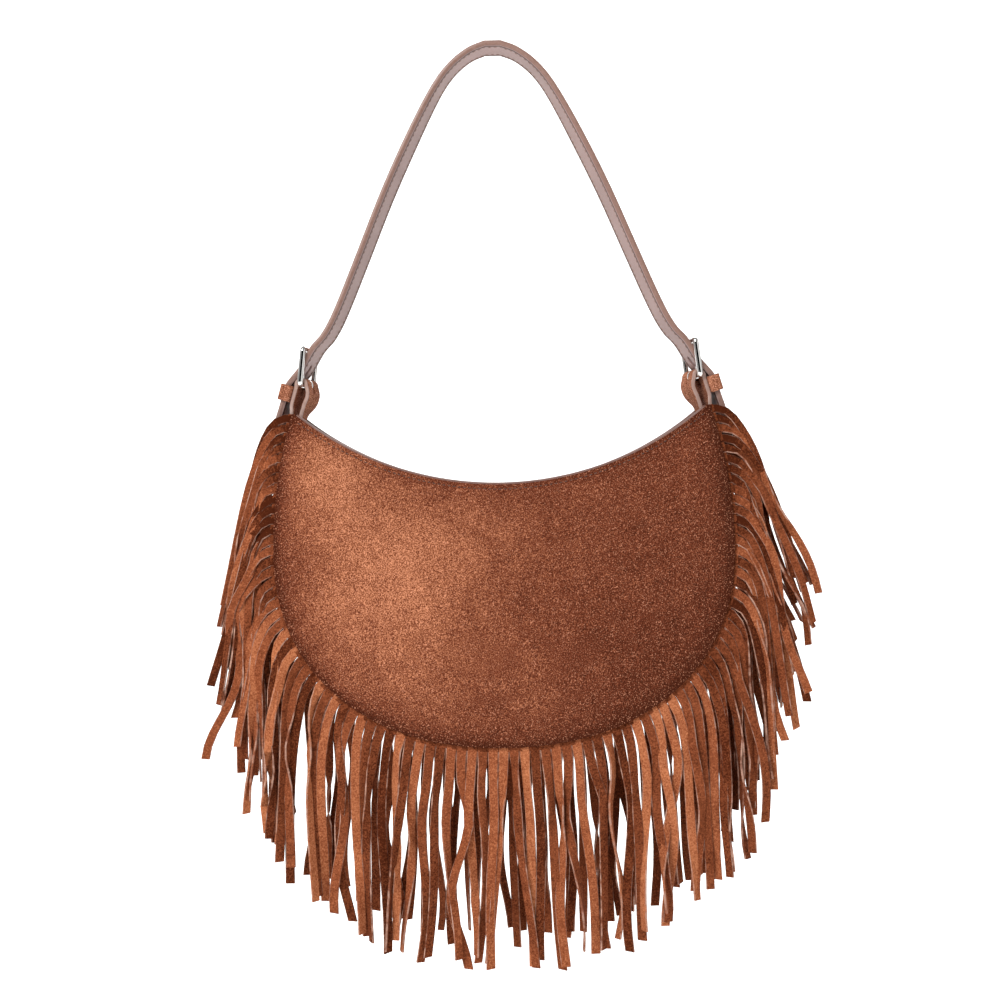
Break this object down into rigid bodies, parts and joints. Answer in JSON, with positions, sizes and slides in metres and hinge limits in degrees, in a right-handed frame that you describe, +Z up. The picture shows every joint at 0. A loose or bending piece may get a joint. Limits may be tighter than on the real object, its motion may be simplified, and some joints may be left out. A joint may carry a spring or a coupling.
{
  "type": "fringed suede shoulder bag",
  "caption": "Crescent shoulder bag in brown suede with fringe round the seam, an open mouth with a snap, and a lined strap on two buckles.",
  "frame": {"origin": "underside of the strap at its highest point, where the bag hangs", "axes": "+X to the right across the bag, +Y from the front to the back, +Z up"},
  "size_m": [0.3558, 0.0682, 0.5634],
  "materials": {
    "panel_suede": "brown suede, brushed nap",
    "gusset_suede": "brown suede, brushed nap",
    "fringe_suede": "brown suede strips with paler cut edges",
    "lining_cloth": "dark brown woven lining",
    "facing_leather": "smooth pinkish grey leather",
    "snap_nickel": "polished nickel",
    "tab_suede": "light brown suede",
    "buckle_nickel": "polished nickel",
    "strap_suede": "brown suede with a painted edge",
    "strap_leather": "smooth pinkish grey leather, stitched"
  },
  "bodies": {
    "root": {"front_panel": "panel_suede", "back_panel": "panel_suede", "gusset": "gusset_suede", "front_fringe": "fringe_suede", "back_fringe": "fringe_suede", "lining": "lining_cloth", "front_facing": "facing_leather", "back_facing": "facing_leather", "snap_stud": "snap_nickel", "snap_socket": "snap_nickel", "chape_left": "tab_suede", "chape_right": "tab_suede", "keeper_left": "tab_suede", "keeper_right": "tab_suede", "strap_outer": "strap_suede", "strap_lining": "strap_leather"},
    "buckle_left": {"buckle_frame_left": "buckle_nickel"},
    "prong_left": {"prong_left": "buckle_nickel"},
    "buckle_right": {"buckle_frame_right": "buckle_nickel"},
    "prong_right": {"prong_right": "buckle_nickel"}
  },
  "joints": [
    {"name": "buckle_left_rock", "type": "hinge", "parent": "root", "child": "buckle_left", "pos_m": [-0.1203, 0, -0.20535], "axis": [-0.1908, -0.9816, 0], "range_deg": [-1, 6]},
    {"name": "prong_left_lift", "type": "hinge", "parent": "buckle_left", "child": "prong_left", "pos_m": [-0.1203, 0, -0.20535], "axis": [-0.1908, -0.9816, 0], "range_deg": [0, 18]},
    {"name": "buckle_right_rock", "type": "hinge", "parent": "root", "child": "buckle_right", "pos_m": [0.1203, 0, -0.20535], "axis": [-0.1908, 0.9816, 0], "range_deg": [-1, 6]},
    {"name": "prong_right_lift", "type": "hinge", "parent": "buckle_right", "child": "prong_right", "pos_m": [0.1203, 0, -0.20535], "axis": [-0.1908, 0.9816, 0], "range_deg": [0, 18]}
  ]
}
